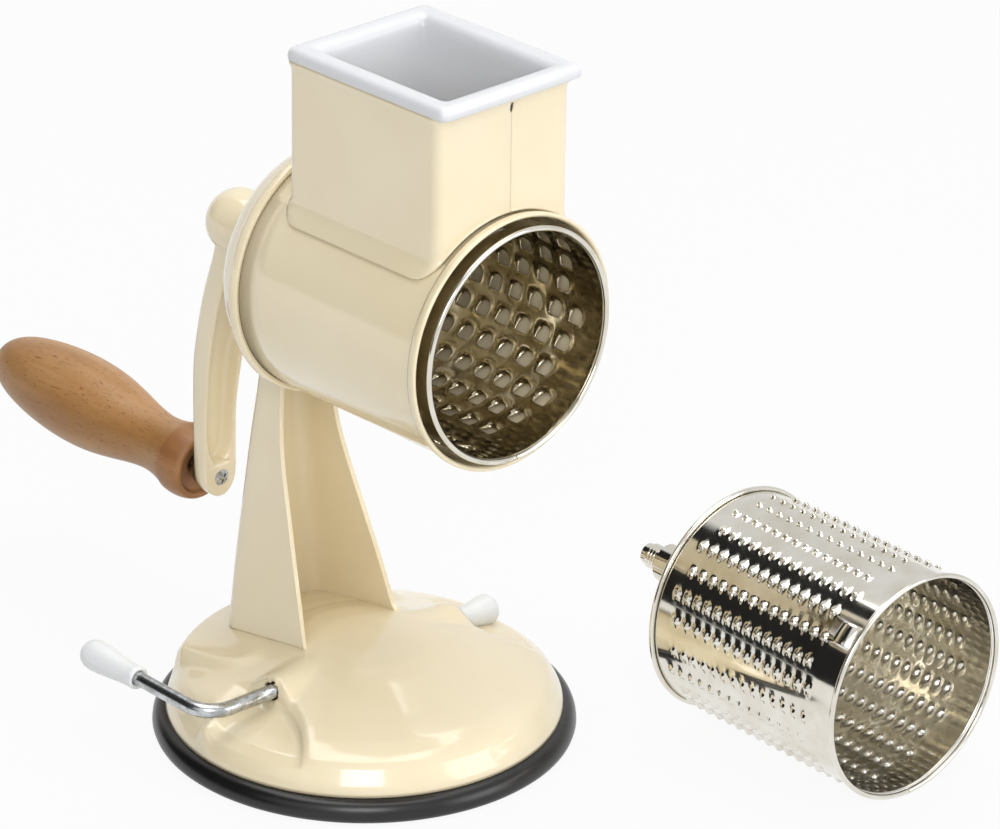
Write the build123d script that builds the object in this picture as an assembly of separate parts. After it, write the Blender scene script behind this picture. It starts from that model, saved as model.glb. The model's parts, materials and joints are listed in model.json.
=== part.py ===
from build123d import *
import os
from math import sin, cos, tan, pi, radians, degrees, sqrt, atan2

os.makedirs("parts", exist_ok=True)

# ---- driving dimensions (mm); origin: centre of the foot, on the table ----
PAD_R = 65.0            # rubber foot, outer radius
SHEET = 1.2             # pressed foot, sheet thickness
RIM_R, RIM_Z = 60.8, 7.1    # lower edge of the pressed foot
DOME_Z = 30.0           # top of the pressed foot
SEAT_X, SEAT_Y = 37.5, 13.5     # half width and front edge of the column seat
SEAT_Z, SEAT_SLOPE = 27.5, 0.18  # seat height at Y = 14.8 and its fall to the back
SCOOP_R, SCOOP_X = 35.6, 37.6   # scoops that clear the lever, radius and inner edge
AXIS_Z = 148.25         # height of the drum axis
DRUM_R = 34.7           # drum sheet, outer radius
DRUM_T = 0.5            # drum sheet thickness
DRUM_L = 77.9           # drum length over the rims
RIM_WIRE = 1.05         # wire radius of the drum rims
DRUM_RIM_R = 36.3       # outer radius over the rims
MOUTH_Y = -65.5         # front rim of the fitted drum
SHAFT_R = 6.2           # drum journal
SHAFT_L = 29.2          # journal length behind the drum
THREAD_R, THREAD_L = 4.0, 8.5
PITCH = 1.25
TUBE_R, TUBE_T = 38.1, 0.7      # housing tube, outer radius and sheet
TUBE_Y0, TUBE_Y1 = -62.4, 15.0
BEAD_R = 40.6           # rolled seam at the back of the housing
HOP_X, HOP_Y0, HOP_Y1 = 25.8, -57.9, 5.9    # hopper outline
HOP_Z, HOP_T, HOP_C = 222.3, 0.8, 3.2       # hopper top, sheet, corner radius
LIP_X, LIP_Y0, LIP_Y1, LIP_Z = 27.6, -61.7, 5.4, 226.6     # lip outline and top
LIP_C, LIP_W = 2.4, 6.4         # lip corner radius, width of its flat rim
COL_T = 1.6             # column sheet
COL_TOP_R = 13.0        # rounded head of the column, carries the bearing
HUB_R, HUB_Y = 10.5, 56.4       # crank hub radius and centre of its round end
ARM_W = 6.6             # half width of the crank arm at the handle
ARM_WALL = 1.7
HANDLE_Z = 59.3         # height of the handle axis at the arm
HANDLE_TILT = 2.86      # rise of the handle axis, degrees
HANDLE_Y = 73.6         # seat of the handle
SCREW_R = 2.0
ROD_R = 2.25            # lever rod
LEVER_Z = 22.4          # height of the lever axle over the centre of the foot
LEVER_TILT = 2.04       # play of the axle in its holes, degrees
LEVER_X = 63.0          # bend of the lever
LOBE_R, LOBE_E = 3.7, 1.35      # eccentric and its throw
COARSE_ROWS, COARSE_COLS, COARSE_PITCH = 24, 7, 8.4
FINE_ROWS, FINE_COLS, FINE_PITCH = 27, 14, 4.26
COARSE_TURN, FINE_TURN = 14.565, 13.2      # degrees from row to row
COARSE_FIRST, FINE_FIRST = 195.9, -78.5    # angle of the first row, from +Z towards +X
STRIP_ROWS = 3          # tooth rows pressed at a time, one strip of the drum sheet
SPARE = (90.05, -143.85)    # front rim of the spare drum on the table
SPARE_TURN = -1.8


def save(name, shape):
    export_step(shape, f"parts/{name}.step")


def turned(points, axis=Axis.Z):
    """Solid of revolution from (radius, height) points."""
    if axis == Axis.Z:
        pts = [(r, 0, z) for r, z in points]
    else:
        pts = [(r, y, 0) for r, y in points]
    return revolve(make_face(Polyline(pts, close=True)), axis, 360)


def turned_smooth(curve, tail, axis=Axis.Z):
    """Solid of revolution, a spline through curve closed by the straight tail."""
    def put(p):
        return (p[0], 0, p[1]) if axis == Axis.Z else (p[0], p[1], 0)
    edge = Spline([put(p) for p in curve])
    rest = Polyline([put(curve[-1])] + [put(p) for p in tail] + [put(curve[0])])
    return revolve(make_face(edge + rest), axis, 360)


def box(x0, x1, y0, y1, z0, z1):
    return Pos((x0 + x1) / 2, (y0 + y1) / 2, (z0 + z1) / 2) * Box(x1 - x0, y1 - y0, z1 - z0)


def rod_y(r, y0, y1, z=0.0, x=0.0):
    return Pos(x, (y0 + y1) / 2, z) * Rot(90, 0, 0) * Cylinder(r, y1 - y0)


def rod_x(r, x0, x1, y=0.0, z=0.0):
    return Pos((x0 + x1) / 2, y, z) * Rot(0, 90, 0) * Cylinder(r, x1 - x0)


# ---- the foot ----
def seat_z(y):
    return SEAT_Z - SEAT_SLOPE * (y - 14.8)


def dome_solid(t):
    """Filled foot, shrunk by t all round; t = 0 is the outside."""
    k = RIM_R / 60.8
    top = [(0, DOME_Z), (12, DOME_Z - 0.6), (20, DOME_Z - 2.0), (30, DOME_Z - 4.6), (35, DOME_Z - 6.0),
           (40, DOME_Z - 7.3), (45.6, DOME_Z - 8.8), (50, DOME_Z - 10.2), (54, DOME_Z - 12.1)]
    side = [(56.2, 16.4), (57.6, 14.8), (58.6, 13.0), (59.6, 11.4), (60.4, 9.8), (60.8, 8.4),
            (60.8, RIM_Z)]
    low = [(36, 17.3), (50, 14.9), (55, 14.5)]
    back = [(56.4, 60), (56.4, 20.6), (57.6, 19.4), (58.6, 17.4), (59.0, 15.0), (59.2, 13.0)] + side[3:]

    def cut_in(pts):
        return [(max(r * k - (t if r > 54 else 0), 0), z - (t if z > RIM_Z + 2 else 0)) for r, z in pts]

    floor = RIM_Z - (1.0 if t else 0)
    foot = [(RIM_R - t, floor), (0, floor)]
    dome = turned(cut_in(top + side[:-1]) + foot)
    scooped = turned([(0, 17.5 - t)] + cut_in(low + side[2:-1]) + foot)
    hull = turned([(0, 60)] + cut_in(back[:-1]) + foot)
    for s in (-1, 1):
        dome -= Pos(s * (SCOOP_X + SCOOP_R), 0, 30) * Cylinder(SCOOP_R + t, 50)
    dome += scooped
    y0 = SEAT_Y + t
    pad = Pos(0, y0 + 40, 30) * extrude(RectangleRounded(2 * (SEAT_X - t), 80, 12), 40, both=True)
    plane = [(-80, 0), (120, 0), (120, seat_z(120) - t), (-80, seat_z(-80) - t)]
    under = extrude(Plane.YZ * make_face(Polyline(plane, close=True)), 90, both=True)
    over = box(-90, 90, -90, 120, 0, 90) - under
    notch = Pos(0, SEAT_Y - t + 40, 30) * extrude(
        RectangleRounded(2 * (SEAT_X + t), 80, 12), 40, both=True)
    dome -= notch & over
    return dome + (pad & under & hull)


def lever_place():
    return Pos(0, 0, LEVER_Z) * Rot(0, LEVER_TILT, 0)


def base_dome():
    shell = dome_solid(0) - dome_solid(SHEET)
    shell -= lever_place() * rod_x(ROD_R + 0.6, -55, 55)
    for x, y in RIVETS:
        shell -= rivet_place(x, y) * Cylinder(2.0, 12)
    return shell


RIVETS = ((-9.0, 22.0), (9.0, 22.0))


def rivet_place(x, y):
    return Pos(x, y, seat_z(y)) * Rot(-degrees(atan2(SEAT_SLOPE, 1)), 0, 0)


def suction_ring():
    pts = [(46.3, 1.2), (46.3, 4.2), (56.5, 4.2), (58.2, 7.1), (61.6, 7.1), (63.4, 6.0),
           (64.6, 4.3), (PAD_R, 2.4), (64.5, 0.8), (62.8, 0), (52, 0), (50, 1.2)]
    k = PAD_R / 65.0
    return turned([(r * k if r > 50 else r, z) for r, z in pts])


def suction_disc():
    return turned([(0, 1.2), (45.9, 1.2), (45.9, 4.0), (16, 4.4), (16, 5.0), (0, 5.0)])


def stem_plate():
    return Pos(0, 0, 5.75) * Cylinder(14, 1.5)


def pad_stem():
    drop = LOBE_E * sin(pi / 4)
    zc = LEVER_Z - drop
    yc = LOBE_E * (1 + cos(pi / 4)) / 2
    hy, hz = LOBE_R + 0.5, LOBE_R + 0.3
    head = box(-4, 4, yc - hy - 1.6, yc + hy + 1.6, zc - hz - 2, zc + hz + 0.9)
    head -= box(-6, 6, yc - hy, yc + hy, zc - hz, zc + hz)
    return head + Pos(0, 0, (6.5 + zc - hz - 1) / 2) * Cylinder(3.4, zc - hz - 1 - 6.5)


# ---- the column ----
def column_wire(z, w, y0, y1, r):
    s = RectangleRounded(2 * w, 2 * (y1 - y0), r)
    return Pos(0, y0, z) * s


def column_loft(t):
    cuts = ((18, 20.5, 3.1, 45.0, 7), (90, 12.1, 25.2, 42.2, 6.2), (120, 10.6, 25.3, 37.5, 5.5),
            (170, 10.6, 25.3, 37.5, 5.5))
    faces = [column_wire(z, w - t, y0, y1 - t, r - t) for z, w, y0, y1, r in cuts]
    solid = loft(faces, ruled=True)
    return solid


def front_trim():
    pts = [(-60, 10), (3.1, 10), (3.1, 18), (25.2, 90), (25.3, 180), (-60, 180)]
    return extrude(Plane.YZ * make_face(Polyline(pts, close=True)), 60, both=True)


def cover_solid(t=0.0):
    pts = [(0, 12.9), (BEAD_R - 0.9, 12.9), (BEAD_R, 13.9), (BEAD_R, 15.9), (BEAD_R - 0.9, 16.9),
           (38.2, 17.4), (36.8, 20.6), (34.6, 23.8), (31.4, 27.0), (27.5, 29.4), (24, 30.2), (0, 30.2)]
    if t:
        pts = [(0, 10), (BEAD_R - 4.0, 10), (BEAD_R - 4.0, 17.0), (36.0, 19.9), (33.8, 23.0),
               (30.8, 26.2), (27.1, 28.6), (23.9, 29.4), (0, 29.4)]
    return Pos(0, 0, AXIS_Z) * turned(pts, Axis.Y)


def back_cover():
    ring = cover_solid() - cover_solid(0.8) - rod_y(TUBE_R, 5, TUBE_Y1, AXIS_Z)
    ring -= rod_y(9.0, 20, 40, AXIS_Z)
    for x, z in COVER_RIVETS:
        ring -= rod_y(1.5, 25, 33, z, x)
    return ring


COVER_RIVETS = ((-6.5, AXIS_Z - 17.0), (6.5, AXIS_Z - 17.0))


def column():
    body = column_loft(0) - column_loft(COL_T) - front_trim()
    body &= box(-40, 40, 0, 60, 0, AXIS_Z) + rod_y(COL_TOP_R, 0, 60, AXIS_Z)
    body -= cover_solid() + rod_y(24, 20, 30.2, AXIS_Z)
    bridge = box(-10.6, 10.6, 30.2, 32.0, AXIS_Z - 22, AXIS_Z) & column_loft(0)
    body += bridge + rod_y(COL_TOP_R, 30.2, 42.4, AXIS_Z)
    body -= rod_y(9.2, 20, 50, AXIS_Z)
    for x, z in COVER_RIVETS:
        body -= rod_y(1.5, 28, 33, z, x)
    tab = box(-19, 19, 15.5, 42.5, 20, 40)
    plane = [(0, seat_z(0)), (60, seat_z(60)), (60, seat_z(60) + COL_T), (0, seat_z(0) + COL_T)]
    body += tab & extrude(Plane.YZ * make_face(Polyline(plane, close=True)), 30, both=True) \
        & column_loft(0.9)
    body -= dome_solid(0)
    for x, y in RIVETS:
        body -= rivet_place(x, y) * Cylinder(2.0, 12)
    return body


def column_rivets():
    out = []
    for x, y in RIVETS:
        out.append(rivet_place(x, y) * turned(
            [(0, -SHEET - 1.4), (3.2, -SHEET - 1.4), (3.2, -SHEET), (1.96, -SHEET), (1.96, COL_T),
             (3.4, COL_T), (2.6, COL_T + 1.4), (0, COL_T + 1.8)]))
    return Compound(out)


def cover_rivets():
    out = []
    for x, z in COVER_RIVETS:
        out.append(Pos(x, 0, z) * turned([(0, 28.0), (2.4, 28.4), (2.6, 29.4), (1.45, 29.4), (1.45, 32.0),
                                          (2.6, 32.0), (2.2, 33.0), (0, 33.3)], Axis.Y))
    return Compound(out)


def bearing_bush():
    pts = [(SHAFT_R + 0.06, 27.6), (11.0, 27.6), (11.0, 29.4), (9.0, 29.4), (9.0, 42.4),
           (SHAFT_R + 0.06, 42.4)]
    return Pos(0, 0, AXIS_Z) * turned(pts, Axis.Y)


# ---- housing and hopper ----
def drum_housing():
    r0 = TUBE_R - TUBE_T
    pts = [(r0, TUBE_Y0), (r0 + 0.3, TUBE_Y0 - 0.3), (TUBE_R + 0.5, TUBE_Y0), (TUBE_R + 0.8, TUBE_Y0 + 1.2),
           (TUBE_R + 0.6, TUBE_Y0 + 2.8), (TUBE_R, TUBE_Y0 + 3.6), (TUBE_R, TUBE_Y1), (r0, TUBE_Y1)]
    tube = Pos(0, 0, AXIS_Z) * turned(pts, Axis.Y)
    throat = Pos(0, (HOP_Y0 + HOP_Y1) / 2, AXIS_Z + 20) * extrude(
        RectangleRounded(2 * (HOP_X - HOP_T), HOP_Y1 - HOP_Y0 - 2 * HOP_T, HOP_C - HOP_T), 40)
    return tube - throat


def hopper():
    mid = (HOP_Y0 + HOP_Y1) / 2
    long = HOP_Y1 - HOP_Y0
    z0 = AXIS_Z + 18
    walls = Pos(0, mid, z0) * extrude(RectangleRounded(2 * HOP_X, long, HOP_C), HOP_Z - z0)
    walls += Pos(0, mid, HOP_Z - 2.6) * extrude(
        RectangleRounded(2 * HOP_X + 1.6, long + 1.6, HOP_C + 0.8), 2.6)
    walls -= Pos(0, mid, z0 - 1) * extrude(
        RectangleRounded(2 * (HOP_X - HOP_T), long - 2 * HOP_T, HOP_C - HOP_T), HOP_Z - z0 + 2)
    walls -= rod_y(TUBE_R, -80, 40, AXIS_Z)
    walls -= box(1.85, 2.25, HOP_Y0 - 2, HOP_Y0 + 0.35, AXIS_Z, HOP_Z - 2.6)
    walls -= box(1.4, 3.0, HOP_Y0 - 2, HOP_Y0 + 1, HOP_Z - 4.0, HOP_Z - 0.6)
    return walls


def hopper_lip():
    mid = (LIP_Y0 + LIP_Y1) / 2
    long = LIP_Y1 - LIP_Y0
    rim = Pos(0, mid, HOP_Z) * extrude(RectangleRounded(2 * LIP_X, long, LIP_C), LIP_Z - HOP_Z)
    rim = chamfer(rim.faces().sort_by(Axis.Z)[-1].edges(), 1.2)
    sx, sy0, sy1 = HOP_X - HOP_T - 0.3, HOP_Y0 + HOP_T + 0.3, LIP_Y1 - 1.4
    sleeve = Pos(0, (sy0 + sy1) / 2, HOP_Z - 19) * extrude(
        RectangleRounded(2 * sx, sy1 - sy0, HOP_C - HOP_T), 19.2)
    cuts = []
    for z, inset in ((HOP_Z - 20, 9.6), (LIP_Z - 1.6, LIP_W + 1.8), (LIP_Z + 0.4, LIP_W - 0.4)):
        cuts.append(Pos(0, mid, z) * RectangleRounded(2 * (LIP_X - inset), long - 2 * inset, 2.0))
    return rim + sleeve - loft(cuts[:2], ruled=True) - loft(cuts[1:], ruled=True)


# ---- crank ----
def arm_side(z0, z1):
    """Side outline of the arm, a gooseneck that leans out to the handle."""
    front = [(66.1, 50), (66.1, 80), (65.2, 90), (63.6, 100), (61.2, 110), (58.2, 120), (54.8, 130),
             (51.0, 140), (48.0, 149), (46.5, 162)]
    back = [(60, 162), (58.6, 149), (59.6, 140), (63.4, 130), (67.0, 120), (69.8, 110), (71.9, 100),
            (73.0, 90), (73.3, 80), (73.3, 66), (72.9, 50)]
    return front, back


def crank_arm():
    front, back = arm_side(0, 0)
    side = extrude(Plane.YZ * make_face(Polyline(front + back, close=True)), 20, both=True)
    zt = AXIS_Z
    face = make_face(Polyline([(-ARM_W, HANDLE_Z), (ARM_W, HANDLE_Z), (ARM_W, 86), (8.0, 112), (9.6, zt),
                               (-9.6, zt), (-8.0, 112), (-ARM_W, 86)], close=True))
    face += Pos(0, HANDLE_Z) * Circle(ARM_W) + Pos(0, zt) * Circle(9.6)
    arm = side & extrude(Plane.XZ * face, 90, both=True)
    shift = [(y - 1.9, z) for y, z in back[2:-1]]
    inner = [(30, 148), (30, 40)] + [(shift[-1][0], 40)] + shift[::-1]
    hollow = extrude(Plane.YZ * make_face(Polyline(inner, close=True)), 20, both=True)
    w = ARM_W - ARM_WALL
    slot = make_face(Polyline([(-w, 71), (w, 71), (w, 86), (8.0 - ARM_WALL, 112), (7.2, 136), (-7.2, 136),
                               (-8.0 + ARM_WALL, 112), (-w, 86)], close=True))
    slot += Pos(0, 71) * Circle(w)
    arm -= hollow & extrude(Plane.XZ * slot, 90, both=True)
    hub = rod_y(HUB_R, 43.0, HUB_Y, zt) + Pos(0, HUB_Y, zt) * Sphere(HUB_R)
    arm += hub
    top = MOUTH_Y + DRUM_L + SHAFT_L
    arm -= rod_y(SHAFT_R + 0.06, 40, top + 0.1, zt) + rod_y(THREAD_R + 0.06, 40, top + THREAD_L + 0.6, zt)
    arm -= handle_place() * (rod_y(SCREW_R + 0.02, -20, 5) + rod_y(5.1, -0.5, 8))
    return arm - handle_place() * rod_y(3.2, -30, -6.4)


def handle_place():
    return Pos(0, HANDLE_Y, HANDLE_Z) * Rot(HANDLE_TILT, 0, 0)


def handle_screw():
    pts = [(0, -8.6), (1.6, -8.5), (2.6, -7.7), (2.95, -6.4), (SCREW_R, -6.4), (SCREW_R, 40), (1.2, 42),
           (0, 42)]
    body = turned(pts, Axis.Y)
    for a in (25, 115):
        body -= Rot(0, a, 0) * box(-1.7, 1.7, -9, -7.5, -0.35, 0.35)
    return handle_place() * body


def handle_washer():
    return handle_place() * (rod_y(5.0, -0.5, 0.7) - rod_y(SCREW_R + 0.02, -1, 2))


def handle():
    curve = [(9.6, 1.0), (11.4, 3.2), (12.2, 6.6), (11.7, 10.6), (10.4, 15.5), (9.7, 20.5), (9.9, 26.5),
             (10.9, 32.5), (12.5, 39.5), (13.8, 46.5), (14.6, 54.5), (14.6, 64.5), (13.5, 76.5),
             (11.4, 86.5), (8.0, 94.8), (4.4, 98.8), (0.0, 100.2)]
    body = turned_smooth(curve, [(0, 1.0)], Axis.Y)
    body -= rod_y(SCREW_R + 0.08, 0, 45)
    return handle_place() * body


# ---- drums; built on their own axis, front rim at Y = 0 ----
def drum_shell():
    return (rod_y(DRUM_R, 0.6, DRUM_L - 0.6) - rod_y(DRUM_R - DRUM_T, -2, DRUM_L + 2))


def sheet_strip(a0, a1):
    """Strip of the rolled sheet from angle a0 to a1, counted from +Z towards +X."""
    face = make_face(Polyline([(DRUM_R - DRUM_T, 0.6), (DRUM_R, 0.6), (DRUM_R, DRUM_L - 0.6),
                               (DRUM_R - DRUM_T, DRUM_L - 0.6)], close=True))
    return Rot(0, a0 - 90, 0) * revolve(face, Axis.Y, a1 - a0)


def strips(first, turn, rows, toothed):
    """The whole sheet: strips of toothed rows, and a plain strip where the sheet laps."""
    out = []
    for i in range(0, rows, STRIP_ROWS):
        n = min(STRIP_ROWS, rows - i)
        a = first + i * turn
        out.append(toothed(sheet_strip(a - turn / 2, a + (n - 0.5) * turn), range(i, i + n)))
    end = first + (rows - 0.5) * turn
    out.append(sheet_strip(end, first - turn / 2 + 360))
    return out


def rim(y, sign):
    """Wire ring over the sheet edge, with the joint of the wire left open."""
    ring = Pos(0, y, 0) * Rot(90, 0, 0) * Torus(DRUM_RIM_R - RIM_WIRE, RIM_WIRE)
    if sign < 0:
        ring -= Rot(0, -178.5, 0) * box(-0.25, 0.25, -3, 3, 30, 40)
    return ring - drum_shell()


def drum_back(y):
    r = DRUM_R - DRUM_T
    pts = [(0, y - 2.6), (14, y - 2.6), (16, y - 1.4), (r - 1.2, y - 1.4), (r, y - 2.2), (r, y - 0.8),
           (r - 1.2, y - 0.6), (15.6, y - 0.6), (13.6, y - 1.8), (0, y - 1.8)]
    return turned(pts, Axis.Y) - rod_y(4.4, y - 5, y + 5)


def drum_shaft(y):
    """Journal with its collar, riveted through the back; the thread takes the crank."""
    top = y + SHAFT_L
    pts = [(0, y - 4.6), (6.4, y - 4.6), (6.4, y - 2.6), (4.4, y - 2.6), (4.4, y - 1.8), (9.0, y - 1.8),
           (9.0, y + 1.0), (SHAFT_R, y + 1.0), (SHAFT_R, top)]
    n = int((THREAD_L - 1.2) / PITCH)
    for i in range(n):
        a = top + 0.5 + i * PITCH
        pts += [(THREAD_R - 0.55, a), (THREAD_R, a + PITCH * 0.4), (THREAD_R, a + PITCH * 0.6)]
    pts += [(THREAD_R - 0.55, top + 0.5 + n * PITCH), (THREAD_R - 0.6, top + THREAD_L), (0, top + THREAD_L)]
    return turned(pts, Axis.Y)


def d_outline(w, h):
    """Punched opening: straight edge at the bottom, arched over."""
    return [(-w / 2, -h / 2), (w / 2, -h / 2), (w * 0.47, h * 0.12), (0, h / 2), (-w * 0.47, h * 0.12)]


def coarse_drum():
    """Punched sheet: D openings, each with a raised lip round its arch."""
    w, h = 6.1, 6.4
    out = d_outline(w, h)
    prism = Pos(0, 0, 30) * extrude(make_face(Polyline(out, close=True)), 8)
    hood = [out[2], out[3], out[4], (out[4][0] - 0.7, out[4][1] - 0.3), (0, h / 2 + 0.75),
            (out[2][0] + 0.7, out[2][1] - 0.3)]
    hood = Pos(0, 0, DRUM_R - 0.35) * extrude(make_face(Polyline(hood, close=True)), 1.6)
    turn = Rot(0, 0, 90)

    def toothed(sheet, rows):
        places = []
        for i in rows:
            first = 12.2 + (i % 3) * COARSE_PITCH / 3
            for j in range(COARSE_COLS):
                places.append(Rot(0, COARSE_FIRST + i * COARSE_TURN, 0)
                              * Pos(0, first + j * COARSE_PITCH, 0) * turn)
        sheet = sheet.cut(*[p * prism for p in places])
        return sheet.fuse(*[p * hood for p in places])

    return Compound(strips(COARSE_FIRST, COARSE_TURN, COARSE_ROWS, toothed))


def fine_drum():
    """Pierced sheet: small raised teeth, tall at the cutting end."""
    z = DRUM_R - 0.25
    base = [(-1.2, -0.9, z), (1.2, -0.9, z), (0, 2.4, z)]
    tip = (0, -0.8, DRUM_R + 1.3)
    tris = [(base[0], base[2], base[1]), (base[0], base[1], tip), (base[1], base[2], tip),
            (base[2], base[0], tip)]
    tooth = Solid(Shell([Face(Wire.make_polygon(t, close=True)) for t in tris]))
    turn = Rot(0, 0, -90)
    lap = Rot(0, -46.5, 0) * box(-3.9, 3.9, 2.3, 12, 0, DRUM_R + 0.35)
    lap &= rod_y(DRUM_R + 0.35, 0, 14) - rod_y(DRUM_R - 0.1, -1, 15)

    def toothed(sheet, rows):
        teeth = []
        for i in rows:
            first = 12.45 + (i % 2) * FINE_PITCH / 2
            for j in range(FINE_COLS):
                teeth.append(Rot(0, FINE_FIRST + i * FINE_TURN, 0)
                             * Pos(0, first + j * FINE_PITCH, 0) * turn * tooth)
        return sheet.fuse(*teeth, lap) if 2 in rows else sheet.fuse(*teeth)

    return Compound(strips(FINE_FIRST, FINE_TURN, FINE_ROWS, toothed))


def fitted():
    return Pos(0, MOUTH_Y, AXIS_Z)


def spare():
    return Pos(SPARE[0], SPARE[1], DRUM_RIM_R) * Rot(0, 0, SPARE_TURN)


# ---- lever ----
def lever_rod():
    r = 7.0
    x, y1 = LEVER_X, 33.0
    path = Polyline((48, 0, 0), (-(x - r), 0, 0)) + CenterArc((-(x - r), r, 0), r, 180, 90) \
        + Polyline((-x, r, 0), (-x, y1, 0))
    path = Wire(path.edges())
    sect = Plane(origin=(48, 0, 0), x_dir=(0, 1, 0), z_dir=(-1, 0, 0)) * Circle(ROD_R)
    return lever_place() * sweep(sect, path)


def grip(length):
    """Moulded end grip, pushed over the rod, wider at its rounded end."""
    pts = [(0, 0), (3.0, 0), (3.4, 0.6), (4.2, length * 0.4), (5.0, length * 0.75), (4.8, length * 0.9),
           (3.6, length * 0.97), (0, length)]
    return turned(pts, Axis.Y)


def lever_grip_left():
    g = Pos(-LEVER_X, 31.5, 0) * grip(25)
    return lever_place() * (g - Pos(-LEVER_X, 0, 0) * rod_y(ROD_R, 0, 33.0))


def lever_grip_right():
    g = Pos(39.5, 0, 0) * Rot(0, 0, -90) * grip(14.5)
    return lever_place() * (g - rod_x(ROD_R, 30, 48))


def lever_lobe():
    lobe = Pos(0, LOBE_E * cos(pi / 4), -LOBE_E * sin(pi / 4)) * rod_x(LOBE_R, -5.5, 5.5)
    return lever_place() * (lobe - rod_x(ROD_R, -10, 10))


save("base_dome", base_dome())
save("suction_ring", suction_ring())
save("suction_disc", suction_disc())
save("stem_plate", stem_plate())
save("pad_stem", pad_stem())
save("column", column())
save("column_rivets", column_rivets())
save("cover_rivets", cover_rivets())
save("bearing_bush", bearing_bush())
save("back_cover", back_cover())
save("drum_housing", drum_housing())
save("hopper", hopper())
save("hopper_lip", hopper_lip())
save("crank_arm", crank_arm())
save("handle_screw", handle_screw())
save("handle_washer", handle_washer())
save("handle", handle())
save("lever_rod", lever_rod())
save("lever_grip_left", lever_grip_left())
save("lever_grip_right", lever_grip_right())
save("lever_lobe", lever_lobe())
save("coarse_drum", fitted() * coarse_drum())
save("coarse_back", fitted() * drum_back(DRUM_L))
save("coarse_shaft", fitted() * drum_shaft(DRUM_L))
save("coarse_front_rim", fitted() * rim(RIM_WIRE, -1))
save("coarse_back_rim", fitted() * rim(DRUM_L - RIM_WIRE, 1))
save("fine_drum", spare() * fine_drum())
save("fine_back", spare() * drum_back(DRUM_L))
save("fine_shaft", spare() * drum_shaft(DRUM_L))
save("fine_front_rim", spare() * rim(RIM_WIRE, -1))
save("fine_back_rim", spare() * rim(DRUM_L - RIM_WIRE, 1))
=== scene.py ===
"""A hand-cranked drum grater on a suction foot, with its spare drum: finishes, pressed and turned pieces,
studio and camera. Lengths inside the modelling functions are millimetres."""

import json
from math import atan2, cos, degrees, hypot, pi, radians, sin, sqrt

import bmesh
import bpy
from mathutils import Matrix, Vector


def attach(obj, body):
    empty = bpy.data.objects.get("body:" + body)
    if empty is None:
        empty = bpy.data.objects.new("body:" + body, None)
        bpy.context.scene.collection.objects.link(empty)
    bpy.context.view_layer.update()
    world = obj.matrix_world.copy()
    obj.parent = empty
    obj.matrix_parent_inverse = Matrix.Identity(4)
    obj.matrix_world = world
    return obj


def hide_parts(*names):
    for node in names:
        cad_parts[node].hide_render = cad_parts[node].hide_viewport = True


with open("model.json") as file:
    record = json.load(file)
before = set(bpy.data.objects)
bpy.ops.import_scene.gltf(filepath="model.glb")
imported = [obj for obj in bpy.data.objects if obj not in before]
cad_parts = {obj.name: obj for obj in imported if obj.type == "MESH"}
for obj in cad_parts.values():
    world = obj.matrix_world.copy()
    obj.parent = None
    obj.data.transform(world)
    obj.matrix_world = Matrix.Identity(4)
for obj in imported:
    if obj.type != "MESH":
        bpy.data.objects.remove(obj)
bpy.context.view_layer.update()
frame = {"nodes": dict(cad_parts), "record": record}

MM = 0.001
AXIS_Z = 148.25          # drum axis over the table
DRUM_R, DRUM_L = 34.7, 77.9
MOUTH_Y = -65.5          # front rim of the fitted drum
LEVER_Z, LEVER_TILT = 22.4, radians(2.04)
HANDLE_Y, HANDLE_Z, HANDLE_TILT = 73.6, 59.3, radians(2.86)
FITTED = Matrix.Translation((0, MOUTH_Y, AXIS_Z))
SPARE = Matrix.Translation((90.05, -143.85, 36.3)) @ Matrix.Rotation(radians(-1.8), 4, "Z")
LEVER = Matrix.Translation((0, 0, LEVER_Z)) @ Matrix.Rotation(LEVER_TILT, 4, "Y")
HANDLE = Matrix.Translation((0, HANDLE_Y, HANDLE_Z)) @ Matrix.Rotation(HANDLE_TILT, 4, "X")


# ---- finishes ----
def colour(hex_code):
    """An sRGB hex value as linear RGBA."""
    parts = [int(hex_code[i:i + 2], 16) / 255 for i in (1, 3, 5)]
    return [p / 12.92 if p <= 0.04045 else ((p + 0.055) / 1.055) ** 2.4 for p in parts] + [1.0]


def add(tree, kind, inputs=None, **settings):
    """One node with its settings; an input takes a value, or another node's socket."""
    made = tree.nodes.new("ShaderNode" + kind)
    for key, value in settings.items():
        setattr(made, key, value)
    for key, value in (inputs or {}).items():
        if isinstance(value, bpy.types.NodeSocket):
            tree.links.new(value, made.inputs[key])
        else:
            made.inputs[key].default_value = value
    return made


def finish(name, base, metallic=0.0, roughness=0.4, **sockets):
    """A Principled finish with its plain values set on the shader's own sockets."""
    material = bpy.data.materials.new(name)
    material.use_nodes = True
    tree = material.node_tree
    shader = tree.nodes["Principled BSDF"]
    values = {"Base Color": colour(base), "Metallic": metallic, "Roughness": roughness}
    values.update(sockets)
    for key, value in values.items():
        shader.inputs[key].default_value = value
    return material, tree, shader


def ramp(tree, factor, stops):
    """A colour ramp from (position, hex) stops."""
    made = add(tree, "ValToRGB", {"Fac": factor})
    while len(made.color_ramp.elements) < len(stops):
        made.color_ramp.elements.new(0.5)
    for element, (place, code) in zip(made.color_ramp.elements, stops):
        element.position = place
        element.color = colour(code)
    return made.outputs["Color"]


def noise(tree, size_mm, detail=2.0, stretch=(1, 1, 1), rough=0.5):
    """Noise whose blotches are about size_mm across, stretched along an axis by a smaller factor."""
    place = add(tree, "TexCoord").outputs["Object"]
    mapped = add(tree, "Mapping", {"Vector": place, "Scale": stretch}).outputs["Vector"]
    made = add(tree, "TexNoise", {"Vector": mapped, "Scale": 1000.0 / size_mm, "Detail": detail,
                                  "Roughness": rough})
    return made.outputs["Fac"]


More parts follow.
